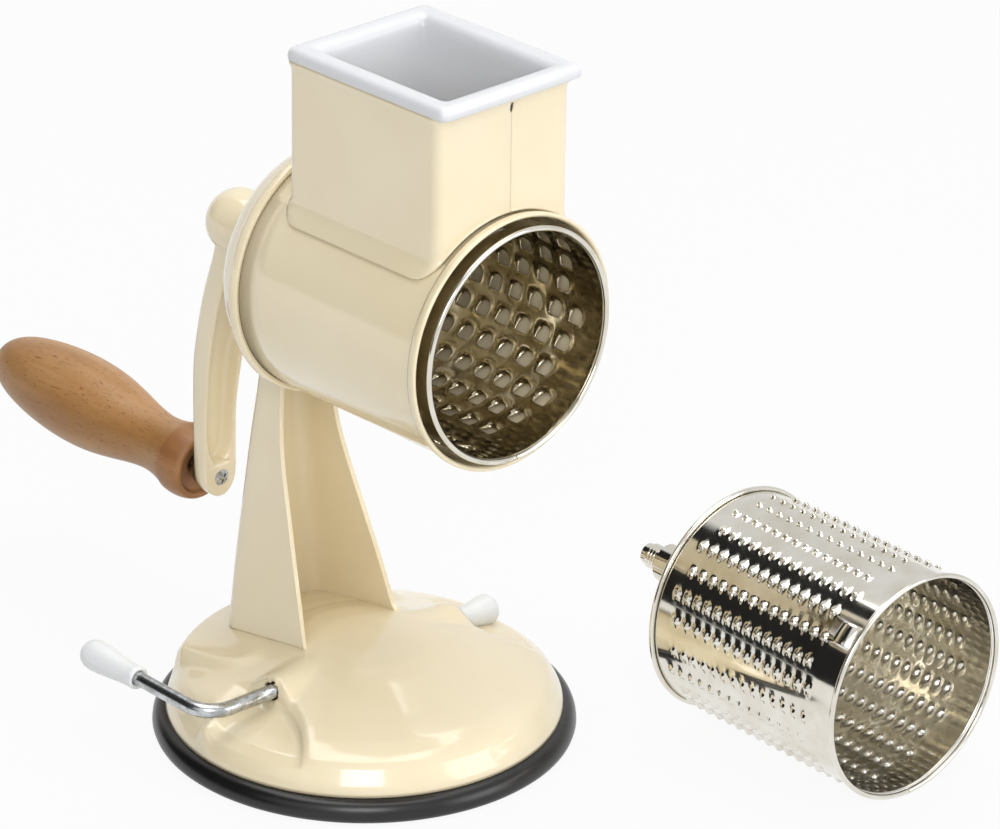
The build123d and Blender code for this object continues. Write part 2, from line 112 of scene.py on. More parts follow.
def relief(tree, shader, height, depth_mm):
    """Bump whose full height is depth_mm."""
    bump = add(tree, "Bump", {"Height": height, "Distance": depth_mm * MM})
    tree.links.new(bump.outputs["Normal"], shader.inputs["Normal"])


def cream_enamel():
    """Cream baked enamel over pressed steel: wet gloss with a faint orange peel."""
    material, tree, shader = finish("cream baked enamel", "#E9DEC2", roughness=0.2, IOR=1.5,
                                    **{"Coat Weight": 0.7, "Coat Roughness": 0.03})
    tone = ramp(tree, noise(tree, 38, 2), [(0.3, "#E8DAB8"), (0.7, "#ECDFC1")])
    tree.links.new(tone, shader.inputs["Base Color"])
    relief(tree, shader, noise(tree, 2.2, 1), 0.006)
    return material


def moulded_rubber():
    """Black nitrile rubber, moulded: soft sheen with dusty matt patches."""
    material, tree, shader = finish("moulded black rubber", "#141313", roughness=0.3, IOR=1.52)
    dust = noise(tree, 9, 4)
    tree.links.new(ramp(tree, dust, [(0.35, "#100F0F"), (0.8, "#191817")]), shader.inputs["Base Color"])
    rough = add(tree, "MapRange", {"Value": dust, "To Min": 0.22, "To Max": 0.36})
    tree.links.new(rough.outputs["Result"], shader.inputs["Roughness"])
    relief(tree, shader, noise(tree, 0.5, 2), 0.01)
    return material


def tinned_steel(name, clean, stain_and_shade):
    """Bright tinned sheet: near mirror, slightly wavy from rolling and punching."""
    material, tree, shader = finish(name, "#E4E1D8", metallic=1.0, roughness=0.07)
    # The darker end of the ramp is staining; in the fitted drum's copy both ends are also darkened as painted
    # shade and warmed as painted reflection.
    tone = ramp(tree, noise(tree, 11, 3), [(0.35, clean), (0.75, stain_and_shade)])
    tree.links.new(tone, shader.inputs["Base Color"])
    smear = add(tree, "MapRange", {"Value": noise(tree, 5, 4), "To Min": 0.05, "To Max": 0.13})
    tree.links.new(smear.outputs["Result"], shader.inputs["Roughness"])
    relief(tree, shader, noise(tree, 9, 1), 0.014)
    return material


def zinc_plate():
    """Zinc-plated mild steel rod: bright with faint drawing lines and dull spots."""
    material, tree, shader = finish("zinc-plated steel", "#C4C7C9", metallic=1.0, roughness=0.16)
    spots = noise(tree, 2.2, 3)
    tree.links.new(ramp(tree, spots, [(0.38, "#A9ABAB"), (0.62, "#CDD0D2")]), shader.inputs["Base Color"])
    rough = add(tree, "MapRange", {"Value": spots, "To Min": 0.36, "To Max": 0.18})
    tree.links.new(rough.outputs["Result"], shader.inputs["Roughness"])
    relief(tree, shader, noise(tree, 1.2, 2), 0.003)
    return material


def white_polypropylene():
    """White polypropylene, injection moulded: glossy, light passes a little way into it."""
    material, tree, shader = finish(
        "white polypropylene", "#D6D7DA", roughness=0.2, IOR=1.49,
        **{"Subsurface Weight": 0.3, "Subsurface Scale": 0.003, "Coat Weight": 0.2})
    shader.inputs["Subsurface Radius"].default_value = (1.0, 1.0, 1.0)
    relief(tree, shader, noise(tree, 6, 1), 0.015)
    return material


def natural_polyethylene():
    """Unpigmented polyethylene: milky, soft gloss."""
    material, tree, shader = finish(
        "natural polyethylene", "#E4E6E7", roughness=0.3, IOR=1.51,
        **{"Subsurface Weight": 0.5, "Subsurface Scale": 0.004})
    shader.inputs["Subsurface Radius"].default_value = (1.0, 1.0, 1.0)
    relief(tree, shader, noise(tree, 2.5, 2), 0.02)
    return material


def oiled_beech(name, dark, mid, light):
    """Steamed beech, turned and oiled: soft bands of growth with short dark pore flecks along the grain."""
    material, tree, shader = finish(name, mid, roughness=0.4, IOR=1.47)
    band = noise(tree, 9, 3, (1.0, 0.12, 1.0), 0.55)
    body = ramp(tree, band, [(0.3, dark), (0.5, mid), (0.7, light)])
    fleck = noise(tree, 0.42, 2, (1.0, 0.09, 1.0), 0.6)
    marks = add(tree, "MapRange", {"Value": fleck, "From Min": 0.33, "From Max": 0.4,
                                   "To Min": 0.0, "To Max": 1.0}, clamp=True).outputs["Result"]
    mixed = add(tree, "Mix", {"Factor": marks}, data_type="RGBA")
    mixed.inputs["A"].default_value = colour("#85582F")
    tree.links.new(body, mixed.inputs["B"])
    tree.links.new(mixed.outputs["Result"], shader.inputs["Base Color"])
    relief(tree, shader, marks, 0.03)
    return material


ENAMEL = cream_enamel()
RUBBER = moulded_rubber()
TINNED = tinned_steel("bright tinned steel", "#E8E5DD", "#D6D0C0")
# The fitted drum's copy of the tinned steel: darker, warmer tones are painted shade from the housing round it
# and a painted reflection of its cream inside.
TINNED_PAINTED_SHADE = tinned_steel("tinned steel with painted shade", "#CDC4AE", "#AFA487")
ZINC = zinc_plate()
LIP_WHITE = white_polypropylene()
GRIP_MILKY = natural_polyethylene()
BEECH = oiled_beech("steamed beech", "#9A6E3F", "#A87C4D", "#B58B5F")
# The collar's copy of the beech is darker: partly its end grain, partly painted shade for its face turned
# towards the arm.
BEECH_END_AND_SHADE = oiled_beech("end grain of beech with painted shade", "#8E5F38", "#9D6E43", "#AB7C50")

BY_SLOT = {"cream": ENAMEL, "rubber": RUBBER, "zinc": ZINC, "tinned": TINNED,
           "white_plastic": LIP_WHITE, "clear_plastic": GRIP_MILKY, "wood": BEECH}


def dress_frame_nodes():
    """The CAD nodes that stay in view take the finish of their slot."""
    for name, thing in frame["nodes"].items():
        slot = next(s["material_slot"] for s in frame["record"]["subparts"] if s["node"] == name)
        thing.data.materials.clear()
        thing.data.materials.append(BY_SLOT[slot])


# ---- making pieces ----
def piece(name, bm, material, body, stands_for=(), place=None, sharp=40, weld=0.001):
    """Turns a bmesh in millimetres into a piece of the scene that rides on its body."""
    bmesh.ops.remove_doubles(bm, verts=bm.verts, dist=weld)
    if place is not None:
        bmesh.ops.transform(bm, matrix=place, verts=bm.verts)
    bmesh.ops.scale(bm, vec=(MM, MM, MM), verts=bm.verts)
    bmesh.ops.recalc_face_normals(bm, faces=bm.faces)
    mesh = bpy.data.meshes.new(name)
    bm.to_mesh(mesh)
    bm.free()
    mesh.materials.append(material)
    for face in mesh.polygons:
        face.use_smooth = True
    if sharp:
        mesh.set_sharp_from_angle(angle=radians(sharp))
    thing = bpy.data.objects.new(name, mesh)
    bpy.context.scene.collection.objects.link(thing)
    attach(thing, body)
    if stands_for:
        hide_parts(*stands_for)
    return thing


def chain(bm, points):
    """An open run of edges through the points."""
    verts = [bm.verts.new(p) for p in points]
    return verts, [bm.edges.new(pair) for pair in zip(verts, verts[1:])]


def spun(bm, points, centre=(0, 0, 0), axis=(0, 0, 1), steps=128, closed=True):
    """Turns a run of points a full circle about the axis."""
    verts, edges = chain(bm, points)
    if closed:
        edges.append(bm.edges.new((verts[-1], verts[0])))
    bmesh.ops.spin(bm, geom=verts + edges, cent=centre, axis=axis, angle=2 * pi, steps=steps,
                   use_merge=True)


def rounded_loop(bm, half_x, y0, y1, radius, z, segments=6, cuts=0):
    """A level rectangle with rounded corners, as one loop of edges; cuts divide its straight sides."""
    aside = 9000.0                       # made far above the rest, where it is told apart by its height
    verts = bmesh.ops.create_grid(bm, x_segments=1, y_segments=1, size=1)["verts"]
    bmesh.ops.scale(bm, vec=(half_x, (y1 - y0) / 2, 1), verts=verts)
    bmesh.ops.translate(bm, vec=(0, (y0 + y1) / 2, aside), verts=verts)
    bmesh.ops.bevel(bm, geom=verts, offset=radius, segments=segments, profile=0.5, material=-1,
                    affect="VERTICES", offset_type="OFFSET")
    bmesh.ops.delete(bm, geom=[f for f in bm.faces if f.calc_center_median().z > aside / 2],
                     context="FACES_ONLY")
    if cuts:
        long = [e for e in bm.edges if e.verts[0].co.z > aside / 2 and e.calc_length() > 10]
        bmesh.ops.subdivide_edges(bm, edges=long, cuts=cuts)
    verts = [v for v in bm.verts if v.co.z > aside / 2]
    bmesh.ops.translate(bm, vec=(0, 0, z - aside), verts=verts)
    return list({e for v in verts for e in v.link_edges})


def skin(bm, loops):
    """Faces between each loop and the next."""
    for low, high in zip(loops, loops[1:]):
        bmesh.ops.bridge_loops(bm, edges=low + high)


def subdivided(thing, levels):
    mod = thing.modifiers.new("smooth", "SUBSURF")
    mod.levels = mod.render_levels = levels
    return thing


def bevelled(thing, width, segments=2, angle=35):
    mod = thing.modifiers.new("soft edges", "BEVEL")
    mod.width, mod.segments, mod.limit_method, mod.angle_limit = width * MM, segments, "ANGLE", radians(angle)
    return thing


def walled(thing, thickness, offset=-1.0):
    mod = thing.modifiers.new("sheet", "SOLIDIFY")
    mod.thickness, mod.offset = thickness * MM, offset
    return thing


def evened(thing):
    """Lets the large faces set the shading next to a thin sheet's edges."""
    mod = thing.modifiers.new("even shading", "WEIGHTED_NORMAL")
    mod.weight, mod.keep_sharp = 100, True
    return thing


def between(points, x):
    """Height of a run of (x, value) points at x."""
    for (xa, a), (xb, b) in zip(points, points[1:]):
        if x <= xb:
            return a + (b - a) * max(0.0, min(1.0, (x - xa) / (xb - xa)))
    return points[-1][1]


def ease(t):
    t = max(0.0, min(1.0, t))
    return t * t * (3 - 2 * t)


def ring(bm, points):
    """A closed run of edges through the points."""
    verts, edges = chain(bm, points)
    return edges + [bm.edges.new((verts[-1], verts[0]))]


def closer(a, b, width):
    """The larger of two heights, run together softly over the width."""
    return max(a, b) + max(width - abs(a - b), 0.0) ** 2 / (4 * width)


def border(bm):
    return [e for e in bm.edges if e.is_boundary]


# ---- foot ----
# Runs of (distance from the middle, height): the dome, the column's platform and the bottom of a scoop.
DOME = [(0, 30.6), (6, 30.5), (12, 30.2), (20, 29.1), (26, 27.5), (32, 25.5), (36, 24.2), (40, 22.9),
        (45.6, 21.2), (50, 19.8), (54, 17.9), (56.2, 16.4), (57.6, 14.8), (58.6, 13.0),
        (59.6, 11.4), (60.4, 9.8),
        (60.8, 8.4), (60.8, 7.2)]
PLATFORM = [(0, 29.6), (24, 27.5), (31.5, 26.1), (40.5, 24.1), (52, 21.2), (57, 20.0), (58.8, 17.6),
            (59.6, 13.6), (60.4, 9.8), (60.8, 8.4)]
SCOOP = [(24, 22.6), (30, 20.6), (36, 19.2), (44, 17.9), (50, 17.0), (55, 15.8), (58.4, 13.4), (61, 9.0)]
SCOOP_AT, SCOOP_R = 73.2, 35.6
WALL = 3.4               # half width of the pressed wall round a scoop, before it is drawn steep


def raised_top(x, y):
    """Height of the foot outside its scoops: dome, column platform and the ridge over the axle."""
    r = hypot(x, y)
    dome = between(DOME, r)
    dx, dy = abs(x) - 26.5, 27.0 - y
    inside = 12.0 - hypot(dx, dy) if dx > 0 and dy > 0 else min(38.5 - abs(x), y - 15.0)
    top = dome + max(between(PLATFORM, r) - dome, 0.0) * ease((inside + 1.5) / 6.5)
    if abs(y) < 9:
        ridge = 20.9 - 0.055 * abs(x) + sqrt(81 - y * y)
        top = closer(top, ridge - 6.0 * (1 - ease((abs(x) - 10) / 14)), 2.4)
    return top


def pressed(x, y):
    """Where a point of the sheet ends up once the scoops are pressed in."""
    side = 1 if x > 0 else -1
    away = hypot(SCOOP_AT * side - x, y)
    depth = SCOOP_R - away
    t = max(-1.0, min(1.0, depth / WALL))
    r = hypot(x, y)
    fade = 1 - ease((r - 57.5) / 2.5)
    shift = (WALL * t * abs(t) ** 1.4 - depth if abs(t) < 1 else 0.0) * fade
    x += shift * (SCOOP_AT * side - x) / away
    y -= shift * y / away
    top = raised_top(x, y)
    low = min(top, between(SCOOP, hypot(x, y)))
    return x, y, top + (low - top) * ease((t + 0.78) / 1.56) * (1 - ease((y - 1) / 15))


def pressed_foot():
    """Pressed steel foot: dome with a raised platform for the column and a scoop round each lever side."""
    bm = bmesh.new()
    edges = chain(bm, [(r, 0, z) for r, z in DOME])[1]
    bmesh.ops.subdivide_edges(bm, edges=[e for e in edges if e.calc_length() > 1.8], cuts=5)
    bmesh.ops.spin(bm, geom=bm.verts[:] + bm.edges[:], cent=(0, 0, 0), axis=(0, 0, 1), angle=2 * pi,
                   steps=360, use_merge=True)
    bmesh.ops.remove_doubles(bm, verts=bm.verts, dist=0.01)
    for v in bm.verts:
        if v.co.z > 8.5:
            v.co = pressed(v.co.x, v.co.y)
    for _ in range(3):
        bmesh.ops.smooth_vert(bm, verts=[v for v in bm.verts if v.co.z > 10], factor=0.5, use_axis_x=True,
                              use_axis_y=True, use_axis_z=True)
    for side in (-1, 1):
        hole = Vector((0, 0.3, LEVER_Z - side * 38 * sin(LEVER_TILT)))
        near = [f for f in bm.faces if 35 < f.calc_center_median().x * side < 42
                and (f.calc_center_median() * Vector((0, 1, 1)) - hole).length < 2.7]
        bmesh.ops.delete(bm, geom=near, context="FACES")
        for v in {v for e in border(bm) for v in e.verts if 30 < v.co.x * side < 45 and v.co.z > 14}:
            arm = v.co * Vector((0, 1, 1)) - hole
            arm *= 3.2 / max(arm.length, 0.1)
            v.co.y, v.co.z = hole.y + arm.y, hole.z + 0.3 + arm.z
    return walled(piece("pressed_foot", bm, ENAMEL, "stand", ["base_dome"], sharp=None), 1.0)


def foot_ring():
    """Rubber ring with the ledge that the foot sits in and a rounded outer edge."""
    bm = bmesh.new()
    spun(bm, [(r, 0, z) for r, z in (
        (46.3, 1.2), (46.3, 4.2), (56.5, 4.2), (58.2, 7.0), (60.9, 7.1), (61.6, 6.9), (62.5, 6.7),
        (63.5, 6.0), (64.3, 4.9), (64.8, 3.5), (64.95, 2.2), (64.6, 1.1), (63.8, 0.4), (62.4, 0.05),
        (56, 0.05), (51, 0.05), (49.5, 1.2))], steps=144)
    return piece("rubber_ring", bm, RUBBER, "stand", ["suction_ring"], sharp=40)


# ---- column, housing and cover ----
# Height, half width, and the front and back of the column there.
COLUMN = [(26, 19.7, 5.4, 44.7), (30, 19.1, 6.8, 44.5), (40, 18.2, 9.7, 44.1), (50, 17.1, 12.9, 43.8),
          (60, 15.8, 16.2, 43.4), (70, 14.5, 19.4, 43.0), (80, 13.3, 22.7, 42.6), (88, 12.3, 24.8, 42.2),
          (95, 11.6, 25.7, 41.3), (104, 11.0, 25.9, 40.0), (112, 10.7, 25.9, 38.7), (120, 10.6, 28.4, 37.6),
          (126, 10.6, 30.6, 37.4), (AXIS_Z, 10.6, 30.6, 37.4)]


def column_channel():
    """Pressed channel, open to the front, with soft folds down its back and its foot on the platform."""
    bm = bmesh.new()
    loops = []
    for z, half, front, back in COLUMN:
        loop = rounded_loop(bm, half, front, back, min(6.6, half * 0.55, (back - front) * 0.45), z, 5)
        verts = {v for e in loop for v in e.verts}
        middle = (front + back) / 2
        for v in verts:
            if v.co.y < middle:
                v.co.x = half if v.co.x > 0 else -half
        front_edge = [e for e in loop if all(abs(v.co.y - front) < 0.001 for v in e.verts)]
        loop = [e for e in loop if e not in front_edge]
        bmesh.ops.delete(bm, geom=front_edge, context="EDGES")
        loops.append(loop)
    for v in {v for e in loops[0] for v in e.verts}:
        v.co.z = raised_top(v.co.x, v.co.y) + 0.3
    skin(bm, loops)
    thing = piece("column_channel", bm, ENAMEL, "stand", ["column", "column_rivets"], sharp=None)
    walled(thing, 1.6)
    bevelled(thing, 0.4, 2, 60)
    return subdivided(thing, 1)


def column_head():
    """Boss of the bearing on the column, with a rolled edge."""
    bm = bmesh.new()
    spun(bm, [(r, y, 0) for r, y in (
        (9.2, 30.3), (12.6, 30.3), (13.0, 30.8), (13.0, 41.4), (12.7, 42.1), (12.0, 42.4), (9.8, 42.4),
        (9.2, 41.9))], axis=(0, 1, 0), steps=64)
    bmesh.ops.translate(bm, vec=(0, 0, AXIS_Z), verts=bm.verts)
    return piece("bearing_boss", bm, ENAMEL, "stand", sharp=50)


TUBE_MID = 37.75         # radius to the middle of the tube's sheet
HATCH_HALF, HATCH_FRONT, HATCH_BACK = 24.4, -55.2, 3.6       # opening under the hopper


def drum_tube():
    """Rolled tube with a hemmed front edge, open to the hopper above."""
    bm = bmesh.new()
    hem = [(37.8, -61.0), (38.0, -61.9), (38.4, -62.2), (38.7, -61.9), (38.75, -61.2), (38.6, -60.2),
           (38.35, -59.4)]
    run = [(TUBE_MID, 15.0), (TUBE_MID, HATCH_BACK), (TUBE_MID, HATCH_FRONT)] + hem
    edges = chain(bm, [(r, y, 0) for r, y in run])[1]
    bmesh.ops.subdivide_edges(bm, edges=[e for e in edges if e.calc_length() > 20], cuts=11)
    bmesh.ops.spin(bm, geom=bm.verts[:] + bm.edges[:], cent=(0, 0, 0), axis=(0, 1, 0), angle=2 * pi,
                   steps=180, use_merge=True)
    hatch = [f for f in bm.faces if abs(f.calc_center_median().x) < HATCH_HALF
             and f.calc_center_median().z > 0 and HATCH_FRONT < f.calc_center_median().y < HATCH_BACK]
    bmesh.ops.delete(bm, geom=hatch, context="FACES")
    bmesh.ops.translate(bm, vec=(0, 0, AXIS_Z), verts=bm.verts)
    return walled(piece("drum_tube", bm, ENAMEL, "stand", ["drum_housing"], sharp=None), 0.6, 0.0)


def rear_cover():
    """Domed cover with its edge rolled over the end of the tube."""
    bm = bmesh.new()
    spun(bm, [(r, y, 0) for r, y in (
        (38.2, 13.3), (39.0, 13.1), (39.6, 13.4), (39.9, 14.2), (39.9, 15.5), (39.6, 16.3), (38.9, 16.9),
        (38.2, 17.5), (37.5, 19.2), (36.3, 21.8), (34.4, 24.4), (31.6, 27.0), (28.0, 29.0), (24.0, 30.0),
        (16, 30.1), (9.2, 30.1), (9.2, 29.3), (16, 29.3), (23.8, 29.2), (27.5, 28.2), (31.0, 26.3),
        (33.8, 23.8), (35.6, 21.4), (36.8, 18.9), (37.3, 17.0), (37.4, 15.1), (38.2, 15.1))],
         axis=(0, 1, 0), steps=144)
    bmesh.ops.translate(bm, vec=(0, 0, AXIS_Z), verts=bm.verts)
    return piece("rear_cover", bm, ENAMEL, "stand", ["back_cover"], sharp=40)


# ---- hopper ----
HOPPER = 25.8, -57.9, 5.9                # half width, front, back
HOPPER_CORNER = 3.4
SKIRT = [(39.05, 4.0), (39.25, 2.4), (39.8, 1.1), (41.0, 0.2)]      # radius on the tube, spread of the edge
SKIRT_ENDS = 0.12                        # share of that spread at the tube's front and back
FLARE = [(191.5, 0), (201, 0), (211, 0), (217.2, 0), (218.2, 0), (219.6, 0.1), (220.6, 0.55), (221.4, 0.8),
         (222.25, 0.85)]                 # height, spread
SEAM = (1.95, 2.25)                      # the butt seam's two sides
NOTCH_HALF, NOTCH_LOW, NOTCH_HIGH = 0.55, 218.2, 220.6


def hopper_box():
    """Square hopper from one sheet: butt seam at the front, notch at its top, edge flared under the lip."""
    bm = bmesh.new()
    half, y0, y1 = HOPPER
    loops = []
    for z, radius, out in [(None, *s) for s in SKIRT] + [(z, None, out) for z, out in FLARE]:
        ends = out if z else out * SKIRT_ENDS
        loop = rounded_loop(bm, half + out, y0 - ends, y1 + ends, HOPPER_CORNER + out, z or 170, 5, cuts=15)
        verts = sorted({v for e in loop for v in e.verts if v.co.y < -50}, key=lambda v: abs(v.co.x - 1.5))
        left, right = sorted(verts[:2], key=lambda v: v.co.x)
        wide = NOTCH_HALF if z and NOTCH_LOW <= z <= NOTCH_HIGH else 0
        left.co.x, right.co.x = SEAM[0] - wide, SEAM[1] + wide
        if z is None:
            for v in {v for e in loop for v in e.verts}:
                v.co.z = AXIS_Z + sqrt(max(radius ** 2 - v.co.x ** 2, 0))
        loops.append(loop)
    skin(bm, loops)
    slit = [f for f in bm.faces if f.calc_center_median().y < -57 and 185 < f.calc_center_median().z < 221
            and SEAM[0] < f.calc_center_median().x < SEAM[1]]
    bmesh.ops.delete(bm, geom=slit, context="FACES")
    return evened(walled(piece("hopper_box", bm, ENAMEL, "stand", ["hopper"], sharp=50), 0.8))


def plastic_lip():
    """White lip: a broad soft rim over the hopper's edge and a tapering sleeve inside it."""
    bm = bmesh.new()
    x, y0, y1 = 27.6, -61.7, 5.4
    loops = [rounded_loop(bm, x - inset, y0 + inset, y1 - inset, radius, z, 4) for inset, z, radius in (
        (2.6, 222.35, 1.6), (0.6, 222.35, 2.6), (0.1, 222.9, 2.8), (0, 224.2, 2.9), (0.3, 225.5, 2.8),
        (1.1, 226.3, 2.6), (2.4, 226.58, 2.5), (4.6, 226.45, 2.3), (6.2, 226.0, 2.1), (7.3, 224.9, 1.9),
        (7.9, 223.2, 1.8), (9.0, 212, 1.6), (10.6, 194, 1.5), (9.6, 193.7, 1.9), (7.2, 212, 2.2),
        (5.4, 220.6, 2.4), (2.8, 221.2, 1.8))]
    skin(bm, loops + loops[:1])
    thing = piece("plastic_lip", bm, LIP_WHITE, "lip", ["hopper_lip"], sharp=None)
    return subdivided(thing, 1)


# ---- crank ----
# Runs by height: front and back of the arm, its half width, and the half width of its hollow.
ARM_FRONT = [(52.6, 66.1), (80, 66.1), (85, 65.6), (90, 64.9), (100, 63.6), (110, 61.3), (120, 58.2),
             (130, 54.8), (140, 51.2), (149, 48.4), (157, 47.4)]
ARM_BACK = [(52.6, 71.4), (56, 72.2), (60, 72.8), (66, 73.2), (80, 73.2), (90, 72.9), (100, 71.8),
            (110, 69.6), (120, 67.0), (130, 63.5), (140, 59.6), (149, 57.6), (157, 56.0)]
ARM_HALF = [(52.6, 0.7), (52.95, 2.2), (53.8, 3.7), (55.4, 5.1), (57.4, 6.1), (60, 6.55), (85, 6.65),
            (90, 6.9), (100, 7.5), (112, 8.1), (130, 9.0), (148, 9.5), (153, 8.2), (157, 4.0)]
RECESS = [(64.0, 0.4), (65.0, 1.8), (67.0, 3.3), (70.5, 4.3), (80, 4.6), (100, 5.3), (112, 5.9), (128, 6.6),
          (134.0, 6.5), (136.0, 6.0)]


def crank_lever():
    """Cast arm: a channel towards the column, bowed out to the handle, flat land round the screw."""
    bm = bmesh.new()
    loops = []
    for z in (52.6, 52.95, 53.8, 55.4, 57.4, 60, 62.5, 63.9, 64.1, 65, 67, 70.5, 76, 82, 88, 94, 100, 107,
              114, 121, 128, 134, 135.8, 136.1, 138, 143, 149, 153, 157):
        front, back, wide = (between(run, z) for run in (ARM_FRONT, ARM_BACK, ARM_HALF))
        open_here = 64 < z < 136
        inner = between(RECESS, z) if open_here else wide * 0.55
        deep = back - 2.0 if open_here else front
        skew = min(1.3, wide * 0.4)
        loops.append(ring(bm, [(x, y, z) for x, y in (
            (-wide, front + 0.6), (-wide, back - skew), (-wide + skew, back), (wide - skew, back),
            (wide, back - skew), (wide, front + 0.6), (wide - min(0.5, wide / 3), front),
            (inner + min(0.3, wide / 9), front), (inner, deep), (-inner, deep),
            (-inner - min(0.3, wide / 9), front), (-wide + min(0.5, wide / 3), front))]))
    skin(bm, loops)
    bmesh.ops.holes_fill(bm, edges=border(bm), sides=14)
    return subdivided(piece("crank_lever", bm, ENAMEL, "crank", ["crank_arm"], sharp=None), 2)


def crank_hub():
    """Hub of the crank with a ball end, hollow for the drum's shaft."""
    bm = bmesh.new()
    ball = [(10.5 * cos(radians(a)), 56.4 + 10.5 * sin(radians(a)), 0) for a in range(0, 90, 6)]
    spun(bm, [(6.4, 43.1, 0), (10.1, 43.1, 0), (10.5, 43.6, 0)] + ball
         + [(0, 66.9, 0), (0, 58, 0), (6.4, 52, 0)], axis=(0, 1, 0), steps=72)
    bmesh.ops.translate(bm, vec=(0, 0, AXIS_Z), verts=bm.verts)
    return piece("crank_hub", bm, ENAMEL, "crank", sharp=50)


def wooden_handle():
    """Turned handle: neck, full palm swell and rounded end, and its collar towards the arm."""
    bm = bmesh.new()
    spun(bm, [(r, y, 0) for r, y in (
        (2.2, 10.6), (10.6, 10.6), (11.0, 10.75), (10.95, 12.0), (10.0, 15.3), (9.3, 20.5), (9.5, 25.0),
        (10.4, 31.0), (12.2, 39.0), (13.6, 46.5), (14.4, 54.5), (14.4, 64.5), (13.4, 75.5), (11.4, 86.0),
        (9.2, 92.3), (6.4, 96.8), (3.2, 99.2), (0, 99.9))], axis=(0, 1, 0), steps=40, closed=False)
    subdivided(piece("wooden_handle", bm, BEECH, "grip", ["handle"], HANDLE, sharp=None), 2)
    bm = bmesh.new()
    spun(bm, [(r, y, 0) for r, y in (
        (2.2, 3.6), (8.0, 3.6), (8.5, 3.3), (8.8, 1.5), (9.3, 1.05), (10.3, 1.05), (11.0, 1.7), (11.6, 3.6),
        (11.9, 5.6), (11.95, 7.6), (11.75, 9.6), (11.6, 10.4), (11.3, 10.7), (2.2, 10.7))],
         axis=(0, 1, 0), steps=40)
    # The collar takes the darker beech: end grain and painted shade.
    return subdivided(piece("handle_collar", bm, BEECH_END_AND_SHADE, "grip", place=HANDLE, sharp=None), 1)


# ---- lever ----
AXLE_START = 47
AXLE_STEPS = 84.9, 0.7, 6.4, 0.7, 8.8    # the short ones bound the stamped flat
FLAT_FROM, FLAT_TO, FLAT_AT = -45.2, -38.4, 1.55
BEND_R, ARM_LENGTH = 8.5, 24.5


def lever_bar():
    """Bent plated rod: the axle through the foot, a bend, the arm to the back."""
    bm = bmesh.new()
    loop = bmesh.ops.create_circle(bm, segments=24, radius=2.25)["verts"]
    bmesh.ops.rotate(bm, verts=loop, cent=(0, 0, 0), matrix=Matrix.Rotation(pi / 2, 3, "Y"))
    bmesh.ops.translate(bm, verts=loop, vec=(AXLE_START, 0, 0))

    def drawn(loop, vec):
        edges = list({e for v in loop for e in v.link_edges if e.other_vert(v) in loop})
        out = bmesh.ops.extrude_edge_only(bm, edges=edges)["geom"]
        loop = [v for v in out if isinstance(v, bmesh.types.BMVert)]
        bmesh.ops.translate(bm, verts=loop, vec=vec)
        return loop

    for step in AXLE_STEPS:
        loop = drawn(loop, (-step, 0, 0))
    edges = list({e for v in loop for e in v.link_edges if e.other_vert(v) in loop})
    out = bmesh.ops.spin(bm, geom=loop + edges, cent=(-54.5, BEND_R, 0), axis=(0, 0, 1), angle=-pi / 2,
                         steps=16)
    drawn([v for v in out["geom_last"] if isinstance(v, bmesh.types.BMVert)], (0, ARM_LENGTH, 0))
    flat = Vector((0, -0.95, 0.31))      # where the stop is stamped into the axle
    for v in bm.verts:
        if FLAT_FROM < v.co.x < FLAT_TO:
            v.co -= flat * max(v.co.dot(flat) - FLAT_AT, 0.0)
    bmesh.ops.holes_fill(bm, edges=border(bm), sides=30)
    return piece("lever_bar", bm, ZINC, "lever", ["lever_rod"], LEVER, sharp=40)


def lever_ends():
    """Soft moulded grips: a rolled mouth on the rod, swelling to a domed end."""
    for name, length, place in (
            ("lever_grip_left", 25.0, LEVER @ Matrix.Translation((-63, 31.5, 0))),
            ("lever_grip_right", 14.5,
             LEVER @ Matrix.Translation((39.5, 0, 0)) @ Matrix.Rotation(-pi / 2, 4, "Z"))):
        bm = bmesh.new()
        spun(bm, [(2.3, 0.9, 0), (2.6, 0.15, 0), (3.3, 0.0, 0), (3.75, 0.6, 0), (3.7, 1.8, 0), (3.55, 2.8, 0)]
             + [(r, y * length, 0) for r, y in ((3.9, 0.32), (4.4, 0.5), (4.85, 0.7), (4.95, 0.82),
                                               (4.4, 0.92), (2.8, 0.98), (0, 1))],
             axis=(0, 1, 0), steps=32, closed=False)
        thing = piece(name.replace("lever_", "moulded_"), bm, GRIP_MILKY, "lever", [name],
                      place, sharp=None)
        subdivided(thing, 1)


# ---- drums ----
def flat_sheet(columns, rows, across, along):
    """A flat sheet of even cells, and its vertices by column and row."""
    bm = bmesh.new()
    bmesh.ops.create_grid(bm, x_segments=columns, y_segments=rows, size=0.5)
    bmesh.ops.translate(bm, vec=(0.5, 0.5, 0), verts=bm.verts)
    bmesh.ops.scale(bm, vec=(columns * across, rows * along, 1), verts=bm.verts)
    return bm, {(round(v.co.x / across), round(v.co.y / along)): v for v in bm.verts}


def opened(bm, grid, columns, rows):
    """Takes out the cells of a block of columns and rows."""
    cells = [set(grid[a, b].link_faces) & set(grid[a + 1, b + 1].link_faces) for a in columns for b in rows]
    bmesh.ops.delete(bm, geom=[f for cell in cells for f in cell], context="FACES")


def rolled(bm, turn, y, round_to=None):
    """Rolls a sheet round the drum axis: x is the arc from the angle turn, z stands off the face."""
    if round_to:
        bmesh.ops.scale(bm, vec=(2 * pi * DRUM_R / round_to, 1, 1), verts=bm.verts)
    for v in bm.verts:
        a, r = radians(turn) + v.co.x / DRUM_R, DRUM_R + v.co.z
        v.co = (r * sin(a), y + v.co.y, r * cos(a))


def drum_sheet(name, bm, material, body, node, place, levels):
    thing = walled(piece(name, bm, material, body, [node], place, sharp=None, weld=0.02), 0.45)
    return subdivided(thing, levels) if levels else thing


COARSE_TURN, FINE_TURN = 14.565, 13.2      # degrees from row to row


